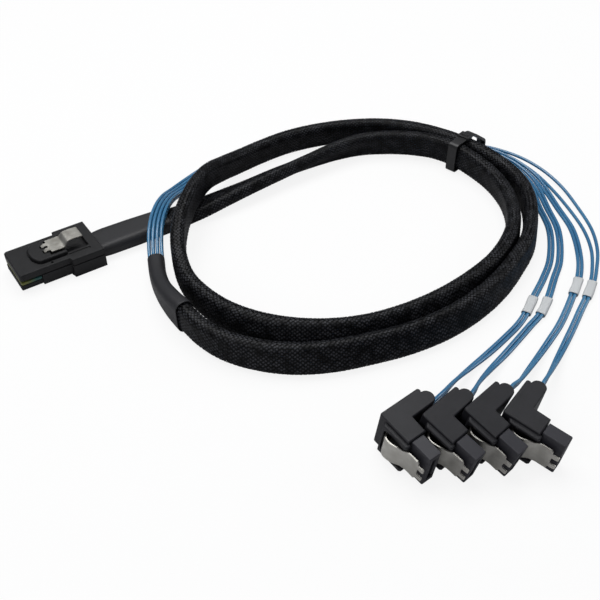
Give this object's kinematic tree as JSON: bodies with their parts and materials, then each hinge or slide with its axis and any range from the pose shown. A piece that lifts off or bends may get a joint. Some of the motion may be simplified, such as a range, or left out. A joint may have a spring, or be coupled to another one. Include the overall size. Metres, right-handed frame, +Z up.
{
  "type": "mini sas breakout cable",
  "caption": "Breakout cable with a flat latching internal plug, a braided sleeve in a loose coil, and twin-wire lanes that end in right-angle drive plugs with steel latches.",
  "frame": {"origin": "centre of the flat underside of the mini-SAS plug's rear body, on the floor that the cable lies on", "axes": "+X along the mini-SAS plug from its nose towards its cable, +Y across the plug, +Z up from the floor"},
  "size_m": [0.2287, 0.2154, 0.0193],
  "materials": {
    "plug_shell": "moulded black plastic, fine satin texture",
    "contact_carrier": "moulded black plastic, slightly smoother and bluer than the housing",
    "latch_steel": "satin stamped spring steel",
    "circuit_board": "green circuit board with gold contact pads",
    "potting": "dull black moulding round the wires",
    "heat_shrink": "dull dark grey shrink tube",
    "braid": "open braid of black plastic yarn",
    "wire_jacket": "smooth blue wire jacket",
    "label": "blank off-white sleeve",
    "tie": "black nylon"
  },
  "bodies": {
    "cable": {"sas_bottom_shell": "plug_shell", "sas_top_shell": "plug_shell", "sas_paddle_card": "circuit_board", "sas_wire_potting": "potting", "plug_heat_shrink": "heat_shrink", "breakout_heat_shrink": "heat_shrink", "braided_sleeve": "braid", "cable_tie": "tie", "lane1_housing": "plug_shell", "lane1_contact_carrier": "contact_carrier", "lane1_wire_a": "wire_jacket", "lane1_wire_b": "wire_jacket", "lane1_label": "label", "lane2_housing": "plug_shell", "lane2_contact_carrier": "contact_carrier", "lane2_wire_a": "wire_jacket", "lane2_wire_b": "wire_jacket", "lane2_label": "label", "lane3_housing": "plug_shell", "lane3_contact_carrier": "contact_carrier", "lane3_wire_a": "wire_jacket", "lane3_wire_b": "wire_jacket", "lane3_label": "label", "lane4_housing": "plug_shell", "lane4_contact_carrier": "contact_carrier", "lane4_wire_a": "wire_jacket", "lane4_wire_b": "wire_jacket", "lane4_label": "label"},
    "sas_latch": {"sas_latch": "latch_steel"},
    "lane1_latch": {"lane1_latch": "latch_steel"},
    "lane2_latch": {"lane2_latch": "latch_steel"},
    "lane3_latch": {"lane3_latch": "latch_steel"},
    "lane4_latch": {"lane4_latch": "latch_steel"}
  },
  "joints": [
    {"name": "sas_latch_press", "type": "hinge", "parent": "cable", "child": "sas_latch", "pos_m": [-0.01365, 0, 0.0105], "axis": [0, 1, 0], "range_deg": [0, 6], "stiffness_Nm_per_rad": 0.3, "springref_deg": -2.86},
    {"name": "lane1_latch_press", "type": "hinge", "parent": "cable", "child": "lane1_latch", "pos_m": [0.03982, -0.14842, 0.00909], "axis": [0.0109, -0.1301, 0.9914], "range_deg": [0, 3], "stiffness_Nm_per_rad": 0.3, "springref_deg": -2.86},
    {"name": "lane2_latch_press", "type": "hinge", "parent": "cable", "child": "lane2_latch", "pos_m": [0.04996, -0.156, 0.01005], "axis": [0.0302, -0.1884, 0.9816], "range_deg": [0, 3], "stiffness_Nm_per_rad": 0.3, "springref_deg": -2.86},
    {"name": "lane3_latch_press", "type": "hinge", "parent": "cable", "child": "lane3_latch", "pos_m": [0.062, -0.1616, 0.01033], "axis": [0.034, -0.2051, 0.9781], "range_deg": [0, 3], "stiffness_Nm_per_rad": 0.3, "springref_deg": -2.86},
    {"name": "lane4_latch_press", "type": "hinge", "parent": "cable", "child": "lane4_latch", "pos_m": [0.07335, -0.16876, 0.00866], "axis": [0.0316, -0.0996, 0.9945], "range_deg": [0, 3], "stiffness_Nm_per_rad": 0.3, "springref_deg": -2.86}
  ]
}
